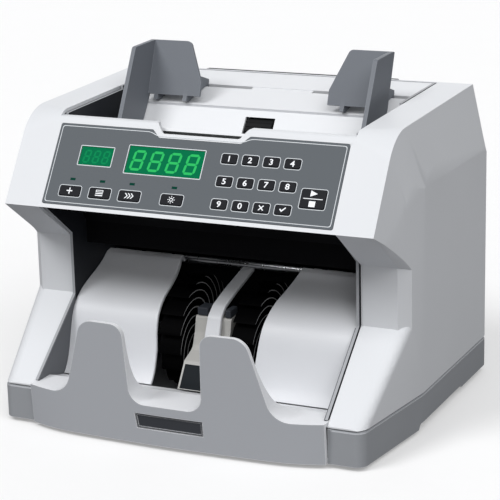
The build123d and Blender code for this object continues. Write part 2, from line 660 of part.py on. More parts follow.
with BuildPart() as kicker_shaft:
    extrude(disc(-SHAFT_END, KICKER, SHAFT_R), amount=SHAFT_END + LAYERS["b"] + PULLEY_W)
    add(pulley("b", KICKER, 9.0))
finish(kicker_shaft, "kicker_shaft")

with BuildPart() as stacker_shaft:
    extrude(disc(-SHAFT_END, STACKER, SHAFT_R), amount=SHAFT_END + LAYERS["c"] + PULLEY_W)
    add(pulley("c", STACKER, 18.0))
finish(stacker_shaft, "stacker_shaft")

with BuildPart() as motor_pulley:
    extrude(disc(95.0, MOTOR, MOTOR_SHAFT_R), amount=LAYERS["c"] + PULLEY_W - 95.0)
    add(pulley("a", MOTOR, 8.0))
    add(pulley("c", MOTOR, 6.0))
finish(motor_pulley, "motor_pulley")

with BuildPart() as feed_rollers:
    for x in (-44.0, 20.0):
        extrude(disc(x, FEED, FEED_R, SHAFT_R), amount=24)
        # Shallow grooves round the rubber.
        for i in range(5):
            extrude(disc(x + 3.0 + 4.2 * i, FEED, FEED_R + 1, FEED_R - 0.6), amount=1.2, mode=Mode.SUBTRACT)
finish(feed_rollers, "feed_rollers")

with BuildPart() as kicker_roller:
    extrude(disc(-10, KICKER, KICKER_R, SHAFT_R), amount=20)
    with BuildSketch(Plane.YZ.offset(-10)):
        with Locations(KICKER):
            with PolarLocations(KICKER_R + 0.4, 20):
                Circle(0.9)
    extrude(amount=20, mode=Mode.SUBTRACT)
finish(kicker_roller, "kicker_roller")

with BuildPart() as retard_roller:
    extrude(disc(-SHAFT_END, RETARD, SHAFT_R), amount=2 * SHAFT_END)
    for x in (-43.0, 21.0):
        extrude(disc(x, RETARD, RETARD_R), amount=22)
finish(retard_roller, "retard_roller")


def belt(layer, one, two):
    """A flat belt round two pulleys, each given as (centre, radius)."""
    (ay, az), ra = one
    (by, bz), rb = two
    run = hypot(by - ay, bz - az)
    heading, spread = atan2(bz - az, by - ay), (ra - rb) / run
    loops = []
    for grow in (BELT_GAP + BELT_T, BELT_GAP):
        points = []
        for (y, z), r, start, stop in (((ay, az), ra + grow, 1, 3), ((by, bz), rb + grow, -1, 1)):
            bend = pi / 2 - spread
            for i in range(BELT_STEPS + 1):
                if start == 1:
                    a = heading + bend + (2 * pi - 2 * bend) * i / BELT_STEPS
                else:
                    a = heading - bend + 2 * bend * i / BELT_STEPS
                points.append((y + r * cos(a), z + r * sin(a)))
        loops.append(points)
    with BuildSketch(Plane.YZ.offset(LAYERS[layer] + FLANGE_T + 0.4)) as face:
        for points, mode in zip(loops, (Mode.ADD, Mode.SUBTRACT)):
            with BuildLine():
                Polyline(*points, close=True)
            make_face(mode=mode)
    return face.sketch


with BuildPart() as drive_belts:
    runs = (("a", (MOTOR, 8.0), (FEED, 15.0)), ("b", (FEED, 9.0), (KICKER, 9.0)),
            ("c", (MOTOR, 6.0), (STACKER, 18.0)))
    for layer, one, two in runs:
        extrude(belt(layer, one, two), amount=PULLEY_W - 2 * FLANGE_T - 0.8)
finish(drive_belts, "drive_belts")

with BuildPart() as drive_motor:
    extrude(disc(50, MOTOR, 25), amount=54)
    extrude(disc(104, MOTOR, 27), amount=FRAME_X - 104)
    extrude(disc(FRAME_X, MOTOR, 11.8), amount=3)
    extrude(disc(94, MOTOR, MOTOR_SHAFT_R + RUNNING), amount=20, mode=Mode.SUBTRACT)
    extrude(disc(44, MOTOR, 10), amount=6)
    with BuildSketch(Plane.YZ.offset(50)):
        with Locations(MOTOR):
            with PolarLocations(18, 8):
                SlotOverall(7, 3)
    extrude(amount=2, mode=Mode.SUBTRACT)
finish(drive_motor, "drive_motor")


# ---------------------------------------------------------------- hopper
HOPPER_SLOPE = atan2(HOPPER_REAR[1] - HOPPER_CREASE[1], HOPPER_REAR[0] - HOPPER_CREASE[0])
HOPPER = Plane(
    origin=(0, *HOPPER_CREASE), x_dir=(1, 0, 0), z_dir=(0, -sin(HOPPER_SLOPE), cos(HOPPER_SLOPE))
)
HOPPER_T = 2.5
SLOT_AT = 34.5              # up the hopper from the crease to the guides' slot and the pinion
MODULE = 1.5
PINION_TEETH = 16
PITCH_R = MODULE * PINION_TEETH / 2
RACK_PITCH = pi * MODULE
TOOTH_HALF = 0.80           # half tooth width on the pitch line, thinned for backlash
RACK_TOP, RACK_T = -3.5, 4.0

with BuildPart() as hopper_back_plate:
    edge = strip([HOPPER_CREASE, HOPPER_REAR], HOPPER_T)
    extrude(side_view(-107.2, edge), amount=214.4)
    with BuildSketch(HOPPER):
        with Locations((0, SLOT_AT)):
            Rectangle(202, 4.8)
    extrude(amount=-0.6, mode=Mode.SUBTRACT)
    with BuildSketch(HOPPER):
        with Locations((-62.5, SLOT_AT), (62.5, SLOT_AT)):
            Rectangle(77, 4.8)
    extrude(amount=-5, mode=Mode.SUBTRACT)
    for depth, radius, length in ((-HOPPER_T + 0.5, 2.0, 5.8), (-7.8, 3.6, 0.9)):
        with BuildSketch(HOPPER.offset(depth)):
            with Locations((0, SLOT_AT)):
                Circle(radius)
        extrude(amount=-length)
finish(hopper_back_plate, "hopper_back_plate")

with BuildPart() as hopper_feed_plate:
    top = (HOPPER_CREASE[0] - 1.1, HOPPER_CREASE[1] - 1.5)
    extrude(side_view(-107.2, strip([FEED_FOOT, top], 2.0)), amount=214.4)
    opening = [(-11.6, 170), (11.6, 170), (11.6, 196.3), (-11.6, 196.3)]
    extrude(front_view(0, opening, [(2, 0.6), (3, 0.6)]), amount=-60, mode=Mode.SUBTRACT)
finish(hopper_feed_plate, "hopper_feed_plate")

with BuildPart() as throat_plate:
    extrude(side_view(-107.2, strip([(-40.3, 203.3), (-4, 176)], 2.0)), amount=214.4)
finish(throat_plate, "throat_plate")

GUIDE_WALL = [(31, 244.7), (61.7, 245.6), (50.4, 208.2), (47.9, 203.6), (36, 187),
              (20, 182), (2, 190), (5.1, 197)]
GUIDE_FOOT, GUIDE_HEAD = (47.4, 208.2), (61.7, 245.6)
GUIDE_OUT, GUIDE_T = 94.5, 3.0
GUIDE_BACK = Plane(
    origin=(0, *GUIDE_FOOT), x_dir=(1, 0, 0),
    z_dir=(0, GUIDE_FOOT[1] - GUIDE_HEAD[1], GUIDE_HEAD[0] - GUIDE_FOOT[0])
)
GUSSET = [(45.3, 204.6), (47.4, 208.3), (57.0, 233.0), (66, 220), (84.5, 214),
          (84.5, 211.2), (50, 203.2)]


def guide(side):
    """A note guide: side wall, back wall, gussets, foot through the slot, and rack."""
    length = hypot(GUIDE_HEAD[0] - GUIDE_FOOT[0], GUIDE_HEAD[1] - GUIDE_FOOT[1])
    wall = [(50.1, 0), (GUIDE_OUT, 0), (GUIDE_OUT, length), (62.4, length), (50.1, 10.5)]
    with BuildPart() as body:
        extrude(side_view(side * (GUIDE_OUT - GUIDE_T), GUIDE_WALL, [(0, 3), (5, 4), (6, 4), (7, 6)]),
                amount=side * GUIDE_T)
        extrude(outline(GUIDE_BACK, [(side * x, s) for x, s in wall], [(3, 4)]), amount=-2.5)
        for x in (61.5, 85.0):
            extrude(side_view(side * x - 1.5, GUSSET), amount=3)
        # The foot runs in the slot and carries the rack under the plate.
        with BuildSketch(HOPPER.offset(RACK_TOP - RACK_T)):
            with Locations((side * 73.25, SLOT_AT)):
                Rectangle(26.5, 3.8)
        extrude(amount=RACK_T - RACK_TOP + 2.0)
        with BuildSketch(HOPPER.offset(RACK_TOP - RACK_T)):
            with Locations((side * 66, SLOT_AT + side * 9)):
                Rectangle(12, 18)
            back = PITCH_R + 6.0
            root = PITCH_R + 1.25 * MODULE
            with Locations((side * 30, SLOT_AT + side * (back + root) / 2)):
                Rectangle(76, back - root)
            for i in range(-1, 9):
                x = side * (i + 0.5) * RACK_PITCH
                tip = SLOT_AT + side * (PITCH_R - MODULE)
                foot = SLOT_AT + side * (root + 0.5)
                with BuildLine():
                    Polyline((x - 1.4, foot), (x - 0.42, tip), (x + 0.42, tip), (x + 1.4, foot), close=True)
                make_face()
        extrude(amount=RACK_T)
    return body


hopper_guide_right = guide(1)
finish(hopper_guide_right, "hopper_guide_right")
hopper_guide_left = guide(-1)
finish(hopper_guide_left, "hopper_guide_left")

with BuildPart() as guide_pinion:
    low, tip = PITCH_R - 2.2 * MODULE, PITCH_R + 0.85 * MODULE
    tooth = [(low, -1.5), (PITCH_R, -TOOTH_HALF), (tip, -0.38),
             (tip, 0.38), (PITCH_R, TOOTH_HALF), (low, 1.5)]
    with BuildSketch(HOPPER.offset(RACK_TOP - RACK_T + 0.3)):
        with Locations((0, SLOT_AT)):
            Circle(PITCH_R - 1.25 * MODULE)
        for i in range(PINION_TEETH):
            a = 2 * pi * i / PINION_TEETH
            turned = [(r * cos(a) - t * sin(a), SLOT_AT + r * sin(a) + t * cos(a)) for r, t in tooth]
            with BuildLine():
                Polyline(*turned, close=True)
            make_face()
        with Locations((0, SLOT_AT)):
            Circle(2.06, mode=Mode.SUBTRACT)
    extrude(amount=RACK_T - 0.6)
finish(guide_pinion, "guide_pinion")

CHUTE_T = 2.0
CHUTE_PATHS = (
    [(-74, 150), (-30, 140), (-22, 129), (-22, 112)],   # front wall
    [(16, 106), (17, 112), (30, 136)],                  # rear wall
    [(31, 28), (31, 116)],                              # wall behind the stacker wheels
)
with BuildPart() as note_chute:
    for path in CHUTE_PATHS:
        extrude(side_view(-107.2, strip(path, CHUTE_T)), amount=214.4)
finish(note_chute, "note_chute")


# ---------------------------------------------------------------- rear and electronics
INLET = (-32.0, 47.0)       # x, z of the inlet module
INLET_W, INLET_H = 27.0, 48.0
SOCKET_Z, ROCKER_Z = 36.0, 60.5
FLANGE_Y = REAR - WALL      # back of the module's flange
PIVOT = (116.8, ROCKER_Z)   # y, z of the rocker's axis
with BuildPart() as rear_panel:
    face = [(-61.5, DECK + 0.2), (61.5, DECK + 0.2), (61.5, 30.5), (66, 30.5), (66, 111),
            (-66, 111), (-66, 30.5), (-61.5, 30.5)]
    extrude(front_view(REAR - WALL, face), amount=1.8)
    # Cooling slots.
    with BuildSketch(Plane.XZ.offset(-REAR)):
        with Locations((28, 66)):
            with GridLocations(7, 0, 7, 1):
                SlotOverall(44, 3, rotation=90)
    extrude(amount=10, mode=Mode.SUBTRACT)
    with BuildSketch(Plane.XZ.offset(-REAR)):
        with Locations(INLET):
            Rectangle(INLET_W + 0.4, INLET_H + 0.4)
    extrude(amount=10, mode=Mode.SUBTRACT)
finish(rear_panel, "rear_panel")

with BuildPart() as power_inlet:
    with BuildSketch(Plane.XZ.offset(-FLANGE_Y)):
        with Locations(INLET):
            Rectangle(INLET_W, INLET_H)
    extrude(amount=21)
    with BuildSketch(Plane.XZ.offset(-FLANGE_Y)):
        with Locations(INLET):
            RectangleRounded(INLET_W + 6, INLET_H + 6, 2)
    extrude(amount=-2.0)
    # Socket with three pins, and the pocket for the rocker.
    with BuildSketch(Plane.XZ.offset(-FLANGE_Y - 2)):
        with Locations((INLET[0], SOCKET_Z)):
            Rectangle(23, 16)
    extrude(amount=17, mode=Mode.SUBTRACT)
    with BuildSketch(Plane.XZ.offset(-FLANGE_Y + 15)):
        with Locations((INLET[0] - 7, SOCKET_Z - 2), (INLET[0] + 7, SOCKET_Z - 2), (INLET[0], SOCKET_Z + 2)):
            Rectangle(2, 4.5)
    extrude(amount=-11)
    with BuildSketch(Plane.XZ.offset(-FLANGE_Y - 2)):
        with Locations((INLET[0], ROCKER_Z)):
            Rectangle(19, 13)
    extrude(amount=12, mode=Mode.SUBTRACT)
    extrude(disc(INLET[0] - 11.5, PIVOT, 1.57), amount=23, mode=Mode.SUBTRACT)
finish(power_inlet, "power_inlet")

ROCK = 7.0                  # tilt to each side of level, in degrees
with BuildPart() as power_rocker:
    y, z = PIVOT
    shape = [(y - 2.5, z - 3.5), (y + 3.0, z - 5.2), (y + 2.3, z), (y + 3.0, z + 5.2), (y - 2.5, z + 3.5)]
    extrude(side_view(INLET[0] - 9.1, shape), amount=18.2)
    extrude(disc(INLET[0] - 11, PIVOT, 1.5), amount=22)
power_rocker.part = power_rocker.part.rotate(Axis((0, *PIVOT), (1, 0, 0)), -ROCK)
finish(power_rocker, "power_rocker")

RAIL = (118.4, 213.4)       # y, z of the handle bar
RAIL_HALF = 76.5
EDGE_RISE, EDGE_RUN = TOP_REAR - 189.0, 10.0    # slope of the rear edge that the handle stands on
with BuildPart() as rear_handle:
    extrude(disc(-RAIL_HALF, RAIL, 2.5), amount=2 * RAIL_HALF)
    for x in (-RAIL_HALF + 2.5, RAIL_HALF - 2.5):
        inward = Plane(origin=(x, *RAIL), x_dir=(1, 0, 0), z_dir=(0, -EDGE_RISE, -EDGE_RUN))
        for depth, radius, length in ((0, 2.4, 5.4), (4.2, 5.0, 1.2)):
            with BuildSketch(inward.offset(depth)):
                Circle(radius)
            extrude(amount=length)
finish(rear_handle, "rear_handle")

BOARD_X = -118.0
with BuildPart() as main_board:
    with BuildSketch(Plane.YZ.offset(BOARD_X)):
        with Locations((58, 100)):
            Rectangle(84, 84)
    extrude(amount=1.6)
    with BuildSketch(Plane.YZ.offset(BOARD_X + 1.6)):
        with Locations((58, 100)):
            with GridLocations(74, 74, 2, 2):
                Circle(3)
    extrude(amount=-FRAME_X - FRAME_T - BOARD_X - 1.6)
    for y, z, w, h, tall in ((45, 110, 16, 16, 2.5), (72, 96, 22, 9, 3), (34, 76, 9, 26, 9),
                             (84, 122, 14, 8, 8), (60, 70, 24, 7, 9), (88, 82, 8, 20, 7)):
        with BuildSketch(Plane.YZ.offset(BOARD_X)):
            with Locations((y, z)):
                Rectangle(w, h)
        extrude(amount=-tall)
finish(main_board, "main_board")

with BuildPart() as power_supply:
    with BuildSketch(Plane.XY.offset(DECK)):
        with Locations((-68, 77)):
            Rectangle(44, 72)
    extrude(amount=38)
    chamfer(power_supply.edges().filter_by(Axis.Y).group_by(Axis.Z)[-1], 1.5)
    with BuildSketch(Plane.XY.offset(DECK + 38)):
        with Locations((-68, 77)):
            with GridLocations(8, 9, 5, 7):
                Circle(1.8)
    extrude(amount=-1.5, mode=Mode.SUBTRACT)
finish(power_supply, "power_supply")
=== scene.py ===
import math

import bmesh
import bpy
from mathutils import Matrix, Vector


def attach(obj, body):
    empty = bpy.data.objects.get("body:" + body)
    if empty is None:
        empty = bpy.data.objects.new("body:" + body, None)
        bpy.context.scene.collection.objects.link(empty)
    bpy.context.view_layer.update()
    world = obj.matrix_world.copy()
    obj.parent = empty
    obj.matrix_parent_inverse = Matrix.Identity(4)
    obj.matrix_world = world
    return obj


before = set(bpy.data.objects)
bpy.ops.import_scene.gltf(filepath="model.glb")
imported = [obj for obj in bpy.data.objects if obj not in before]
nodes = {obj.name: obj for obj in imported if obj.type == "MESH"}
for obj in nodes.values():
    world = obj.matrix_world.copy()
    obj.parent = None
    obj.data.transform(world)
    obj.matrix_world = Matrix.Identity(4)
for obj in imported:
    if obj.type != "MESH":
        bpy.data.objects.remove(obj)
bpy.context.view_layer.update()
scene = bpy.context.scene
scene.view_settings.view_transform = "Standard"
MM = 0.001


# ---------------------------------------------------------------- camera
CAMERA_AT = (549.11, -1145.42, 459.46)              # mm
AZIMUTH, ELEVATION, ROLL = 25.11, 15.42, -1.305     # degrees
LENS, SENSOR_WIDTH = 134.65, 36                     # mm
SHIFT_X, SHIFT_Y = -0.0066, 0.0012                  # parts of the frame's width
CLIP_START, CLIP_END = 0.05, 20                     # m


def camera():
    """A camera at the viewing angle: 25 degrees to the right of the front, 15 degrees up."""
    az, el, roll = (math.radians(a) for a in (AZIMUTH, ELEVATION, ROLL))
    back = Vector((math.sin(az) * math.cos(el), -math.cos(az) * math.cos(el), math.sin(el)))
    right = Vector((math.cos(az), math.sin(az), 0))
    up = back.cross(right)
    right, up = (math.cos(roll) * right + math.sin(roll) * up,
                 math.cos(roll) * up - math.sin(roll) * right)
    data = bpy.data.cameras.new("camera")
    data.sensor_width = SENSOR_WIDTH
    data.lens = LENS
    data.shift_x, data.shift_y = SHIFT_X, SHIFT_Y
    data.clip_start, data.clip_end = CLIP_START, CLIP_END
    o = bpy.data.objects.new("camera", data)
    scene.collection.objects.link(o)
    turn = Matrix((right, up, back)).transposed().to_4x4()
    o.matrix_world = Matrix.Translation(Vector(CAMERA_AT) * MM) @ turn
    scene.camera = o


camera()


# ---------------------------------------------------------------- shader nodes
def link(t, a, b):
    """Join the output a to the input b in the node tree t."""
    t.links.new(a, b)


def add_node(t, kind, values=None, **settings):
    """A new shader node with its settings, and with values for its inputs by name or number."""
    n = t.nodes.new("ShaderNode" + kind)
    for key, value in settings.items():
        setattr(n, key, value)
    for key, value in (values or {}).items():
        n.inputs[key].default_value = value
    return n


def remap(t, value, low, high, to_low=0.0, to_high=1.0):
    """The value carried from the range low to high over to the range to_low to to_high."""
    n = add_node(t, "MapRange", {"From Min": low, "From Max": high,
                                 "To Min": to_low, "To Max": to_high})
    link(t, value, n.inputs["Value"])
    return n.outputs["Result"]


def blend(t, factor, a, b):
    """The colour a where the factor is 0 and b where it is 1. a may be an output or a colour."""
    n = add_node(t, "Mix", data_type="RGBA")
    if isinstance(a, bpy.types.NodeSocket):
        link(t, a, n.inputs["A"])
    else:
        n.inputs["A"].default_value = a
    n.inputs["B"].default_value = b
    link(t, factor, n.inputs["Factor"])
    return n.outputs["Result"]


def noise(t, where, scale, detail):
    """A cloud of values about one half."""
    n = add_node(t, "TexNoise", {"Scale": scale, "Detail": detail})
    link(t, where, n.inputs["Vector"])
    return n.outputs["Fac"]


# ---------------------------------------------------------------- light
def sun(name, towards, strength, spread):
    """A soft distant light that shines from the given direction, spread in degrees."""
    data = bpy.data.lights.new(name, "SUN")
    data.energy = strength
    data.angle = math.radians(spread)
    o = bpy.data.objects.new(name, data)
    scene.collection.objects.link(o)
    o.rotation_euler = Vector(towards).to_track_quat("Z", "Y").to_euler()


SURROUND = (0.97, 0.98, 1.0, 1)
GLOW_BELOW, GLOW_ABOVE = 0.015, 0.30    # strength of the surround's light
FADE_FROM, FADE_TO = -0.3, 0.7          # heights it fades between, 1 being straight up
BACKDROP = 0.97                         # its strength where the camera sees it


def studio():
    """A soft pale surround, brighter above than below, and white where the camera sees it."""
    world = bpy.data.worlds.new("studio")
    world.use_nodes = True
    t = world.node_tree
    back = t.nodes["Background"]
    back.inputs["Color"].default_value = SURROUND
    height = add_node(t, "SeparateXYZ")
    link(t, add_node(t, "TexCoord").outputs["Generated"], height.inputs["Vector"])
    glow = remap(t, height.outputs["Z"], FADE_FROM, FADE_TO, GLOW_BELOW, GLOW_ABOVE)
    seen = add_node(t, "Mix", {"B": BACKDROP})
    link(t, add_node(t, "LightPath").outputs["Is Camera Ray"], seen.inputs["Factor"])
    link(t, glow, seen.inputs["A"])
    link(t, seen.outputs["Result"], back.inputs["Strength"])
    scene.world = world


studio()
sun("key", (-0.42, -0.56, 0.82), 1.65, 24)
sun("fill", (0.50, -0.35, 0.79), 1.3, 50)
sun("front", (0.42, -0.78, 0.55), 0.7, 36)
sun("rear", (-0.25, 0.95, 0.12), 0.6, 50)


# ---------------------------------------------------------------- materials
MOTTLE_SCALE, MOTTLE_DETAIL = 25, 5
GRAIN_DETAIL, GRAIN_DEPTH = 3, 0.0004   # depth in m
GLOSS_SPREAD, GLOSS_LEAST = 0.07, 0.03  # how far the roughness wanders, and its floor
COAT_ROUGHNESS = 0.12
# The painted highlight along the edges: lighter where the rounded normal turns away from the true
# one.
HIGHLIGHT_RADIUS, HIGHLIGHT_SAMPLES = 0.0007, 4   # radius in m
HIGHLIGHT_FROM, HIGHLIGHT_TO = 0.995, 0.85        # cosines between the true and the rounded normal
LIGHTER, LIGHTER_BY = 1.6, 0.06         # a painted highlight's colour on the edges when none is given


def squareness(t, axis, low, high):
    """From 0 to 1 as the surface comes square to the axis, between two squared cosines."""
    cosine = add_node(t, "VectorMath", {1: axis}, operation="DOT_PRODUCT")
    link(t, add_node(t, "NewGeometry").outputs["Normal"], cosine.inputs[0])
    square = add_node(t, "Math", operation="MULTIPLY")
    link(t, cosine.outputs["Value"], square.inputs[0])
    link(t, cosine.outputs["Value"], square.inputs[1])
    return remap(t, square.outputs["Value"], low, high)


def edge_highlight(t, amount):
    """The painted highlight: 0 on the faces, up to the amount along the edges."""
    rounded_off = add_node(t, "Bevel", {"Radius": HIGHLIGHT_RADIUS}, samples=HIGHLIGHT_SAMPLES)
    cosine = add_node(t, "VectorMath", operation="DOT_PRODUCT")
    link(t, rounded_off.outputs["Normal"], cosine.inputs[0])
    link(t, add_node(t, "NewGeometry").outputs["Normal"], cosine.inputs[1])
    return remap(t, cosine.outputs["Value"], HIGHLIGHT_FROM, HIGHLIGHT_TO, 0.0, amount)


def material(name, colour, rough=0.45, metallic=0.0, grain=(900, 0.05), mottle=0.05, coat=0.0,
             specular=0.5, edge=0.0, edge_colour=None, emission=None, streak=None, facing=None):
    """A procedural surface: mottled colour and gloss, grain in the bump, and edges made lighter by
    a painted highlight.

    grain = (scale, strength). emission = (colour, strength). streak stretches the pattern along
    x, y and z. facing = (axis, colour, low, high) gives the faces square to the axis another
    colour, a painted shade where it is darker and a painted highlight where it is lighter; low and
    high are the squared cosines it fades between."""
    m = bpy.data.materials.new(name)
    m.use_nodes = True
    t = m.node_tree
    b = t.nodes["Principled BSDF"]
    b.inputs["Metallic"].default_value = metallic
    b.inputs["Specular IOR Level"].default_value = specular
    b.inputs["Coat Weight"].default_value = coat
    b.inputs["Coat Roughness"].default_value = COAT_ROUGHNESS
    where = add_node(t, "TexCoord").outputs["Object"]
    if streak:
        stretch = add_node(t, "Mapping", {"Scale": streak})
        link(t, where, stretch.inputs["Vector"])
        where = stretch.outputs["Vector"]
    cloud = noise(t, where, MOTTLE_SCALE, MOTTLE_DETAIL)
    fine = noise(t, where, grain[0], GRAIN_DETAIL)
    darker = [c * (1 - mottle) for c in colour] + [1]
    lighter = [min(c * (1 + mottle), 1) for c in colour] + [1]
    result = blend(t, cloud, darker, lighter)
    # The faces square to the axis take the other colour: painted shade when it is darker, painted
    # highlight when it is lighter.
    if facing:
        axis, other, low, high = facing
        result = blend(t, squareness(t, axis, low, high), result, other + (1,))
    # Painted highlight: the edges are made lighter.
    if edge:
        rim = edge_colour or [min(c * LIGHTER + LIGHTER_BY, 1) for c in colour]
        result = blend(t, edge_highlight(t, edge), result, list(rim) + [1])
    link(t, result, b.inputs["Base Color"])
    gloss = remap(t, cloud, 0.0, 1.0, max(rough - GLOSS_SPREAD, GLOSS_LEAST),
                  min(rough + GLOSS_SPREAD, 1))
    link(t, gloss, b.inputs["Roughness"])
    bump = add_node(t, "Bump", {"Strength": grain[1], "Distance": GRAIN_DEPTH})
    link(t, fine, bump.inputs["Height"])
    link(t, bump.outputs["Normal"], b.inputs["Normal"])
    if emission:
        b.inputs["Emission Color"].default_value = emission[0] + (1,)
        b.inputs["Emission Strength"].default_value = emission[1]
    return m


WELD_DISTANCE = 0.00001         # m
BEVEL_ANGLE = math.radians(28)  # edges blunter than this stay as they are
BEVEL_SEGMENTS = 2
FACE_WEIGHT = 100               # large faces decide the shading


def dress(names, m, bevel=0.0):
    """Give the CAD nodes a material, and round their hard edges by bevel in mm."""
    for name in names:
        o = nodes[name]
        if not o.material_slots:
            o.data.materials.append(m)
        for slot in o.material_slots:
            slot.material = m
        if bevel:
            weld = o.modifiers.new("weld", "WELD")
            weld.merge_threshold = WELD_DISTANCE
            b = o.modifiers.new("bevel", "BEVEL")
            b.width = bevel * MM
            b.segments = BEVEL_SEGMENTS
            b.limit_method = "ANGLE"
            b.angle_limit = BEVEL_ANGLE
            flat = o.modifiers.new("flat", "WEIGHTED_NORMAL")
            flat.weight = FACE_WEIGHT
            flat.keep_sharp = False


# In the materials below, edge and edge_colour set a painted highlight along the edges.
# Housing, pocket and hopper.
SHELL = material("shell", (0.665, 0.68, 0.705), specular=0.3, grain=(1400, 0.07), mottle=0.015,
                 edge=0.2)
# The base's light edge colour is a painted highlight along its rims.
BASE = material("base", (0.31, 0.322, 0.342), rough=0.5, specular=0.3, grain=(1400, 0.12),
                mottle=0.04, edge=0.8, edge_colour=(0.72, 0.735, 0.76))
# The tray's faces that look to the front or back are darker grey, a painted shade; its near-white
# edge colour is a painted highlight along the rims.
TRAY = material("tray", (0.74, 0.75, 0.775), specular=0.3, grain=(1200, 0.08), mottle=0.03,
                edge=0.85, edge_colour=(0.93, 0.94, 0.96),
                facing=((0, 1, 0), (0.435, 0.45, 0.48), 0.4, 0.85))
POCKET = material("pocket", (0.64, 0.652, 0.68), rough=0.42, specular=0.3, grain=(1200, 0.06),
                  mottle=0.02, edge=0.2)
HOPPER = material("hopper", (0.70, 0.712, 0.735), specular=0.3, grain=(1200, 0.06), mottle=0.02,
                  edge=0.2)
GUIDE = material("guide", (0.155, 0.168, 0.190), rough=0.5, specular=0.3, grain=(1100, 0.14),
                 edge=0.5)
TRIM = material("trim", (0.115, 0.121, 0.132), rough=0.5, specular=0.2, grain=(1200, 0.1),
                mottle=0.06)
RAIL = material("rail", (0.035, 0.038, 0.045), rough=0.5, grain=(1100, 0.14), mottle=0.06, edge=0.3)
BADGE = material("badge", (0.035, 0.038, 0.045), rough=0.3, grain=(800, 0.03), mottle=0.06,
                 edge=0.9, edge_colour=(0.6, 0.61, 0.63))
DARK = material("dark", (0.004, 0.004, 0.005), rough=0.6, specular=0.06, grain=(1000, 0.12),
                mottle=0.1, edge=0.3)
# Front panel.
FILM = material("film", (0.110, 0.122, 0.134), rough=0.6, specular=0.12, grain=(2500, 0.08),
                mottle=0.03)
RUBBER = material("key_cap", (0.008, 0.009, 0.012), rough=0.6, specular=0.15, grain=(1800, 0.1),
                  mottle=0.1, edge=0.25)
WINDOW = material("window", (0.0, 0.03, 0.012), rough=0.5, specular=0.02, grain=(400, 0.01),
                  mottle=0.1, emission=((0.0, 0.19, 0.075), 0.75))
LAMP = material("lamp", (0.002, 0.045, 0.03), rough=0.5, specular=0.02, grain=(800, 0.05),
                mottle=0.1)
INK = material("ink", (0.62, 0.65, 0.68), rough=0.5, grain=(2500, 0.05))
LEGEND = material("legend", (0.85, 0.87, 0.9), rough=0.5, grain=(2500, 0.05), mottle=0.04)
LIT = material("segment_lit", (0.01, 0.10, 0.03), rough=0.4, specular=0.02,
               emission=((0.02, 0.52, 0.12), 0.85))
UNLIT = material("segment_unlit", (0.0, 0.05, 0.02), rough=0.4, specular=0.02, mottle=0.1,
                 emission=((0.0, 0.28, 0.09), 0.75))
# Sensors, wheels and rollers.
SENSOR = material("sensor", (0.40, 0.395, 0.38), rough=0.5, specular=0.25, grain=(1200, 0.1),
                  edge=0.5, edge_colour=(0.7, 0.7, 0.7))
CAP = material("cap", (0.030, 0.034, 0.042), rough=0.5, specular=0.2, grain=(1200, 0.1),
               mottle=0.08, edge=0.3)
SMOKED = material("smoked", (0.006, 0.009, 0.012), rough=0.5, specular=0.08, grain=(500, 0.01),
                  mottle=0.2)
# The vanes' side faces, square to x, are lighter grey: painted highlight streaks on the black
# rubber.
VANE = material("vane", (0.0012, 0.0012, 0.0014), rough=0.6, specular=0.015, grain=(700, 0.1),
                mottle=0.2, facing=((1, 0, 0), (0.34, 0.345, 0.35), 0.9, 0.99))
TYRE = material("tyre", (0.008, 0.008, 0.009), rough=0.7, specular=0.15, grain=(1200, 0.3),
                mottle=0.15)
# Metal and electronics.
# The frames' flat sides, square to x, are near-black, a painted shade inside the machine; their cut
# edges keep a lighter grey, a painted highlight.
FRAME = material("frame", (0.36, 0.37, 0.39), rough=0.5, specular=0.2, grain=(1600, 0.1),
                 mottle=0.06, facing=((1, 0, 0), (0.018, 0.020, 0.025), 0.5, 0.9))
STEEL = material("steel", (0.10, 0.106, 0.115), specular=0.3, grain=(1600, 0.1), mottle=0.06,
                 edge=0.4)
BRIGHT = material("bright", (0.62, 0.63, 0.65), rough=0.28, metallic=1, grain=(900, 0.08),
                  mottle=0.06, streak=(8, 1, 1))
BRONZE = material("bronze", (0.45, 0.31, 0.15), rough=0.35, metallic=1, grain=(900, 0.15),
                  mottle=0.1)
LAMINATE = material("laminate", (0.01, 0.09, 0.035), rough=0.35, grain=(600, 0.12), mottle=0.15,
                    coat=0.3)
MOTOR = material("motor", (0.2, 0.21, 0.22), rough=0.35, metallic=0.8, grain=(900, 0.12),
                 mottle=0.08)
SUPPLY = material("supply", (0.45, 0.46, 0.47), rough=0.4, metallic=0.9, grain=(700, 0.1),
                  mottle=0.08, edge=0.3)

dress(["upper_housing"], SHELL, bevel=0.8)
dress(["base_tray"], BASE, bevel=0.5)
dress(["front_tray"], TRAY, bevel=0.9)
dress(["stacker_panel_left", "stacker_panel_right", "stacker_rib"], POCKET, bevel=0.7)
dress(["hopper_back_plate", "hopper_feed_plate", "throat_plate"], HOPPER)
# The note chute is near-black, a painted shade for the dark inside of the machine.
dress(["note_chute"], DARK)
dress(["hopper_guide_left", "hopper_guide_right"], GUIDE, bevel=0.6)
dress(["keypad_overlay"], FILM)
dress([name for name in nodes if name.startswith("key_")], RUBBER)
dress(["display_windows"], WINDOW)
dress(["indicator_lenses"], LAMP)
dress(["sensor_block"], SENSOR)
dress(["guide_pinion", "power_inlet", "power_rocker"], DARK)
dress(["sensor_window"], SMOKED)
dress(["side_frame_left", "side_frame_right"], FRAME)
dress(["rear_panel"], STEEL)
dress(["tie_rods", "chassis_screws", "feed_shaft", "kicker_shaft", "stacker_shaft",
       "motor_pulley"], BRIGHT)
dress(["shaft_bushes"], BRONZE)
dress(["stacker_wheel_left", "stacker_wheel_right"], VANE)
dress(["rubber_feet", "feed_rollers", "kicker_roller", "retard_roller", "drive_belts"], TYRE)
dress(["rear_handle"], RAIL)
dress(["name_badge"], BADGE)
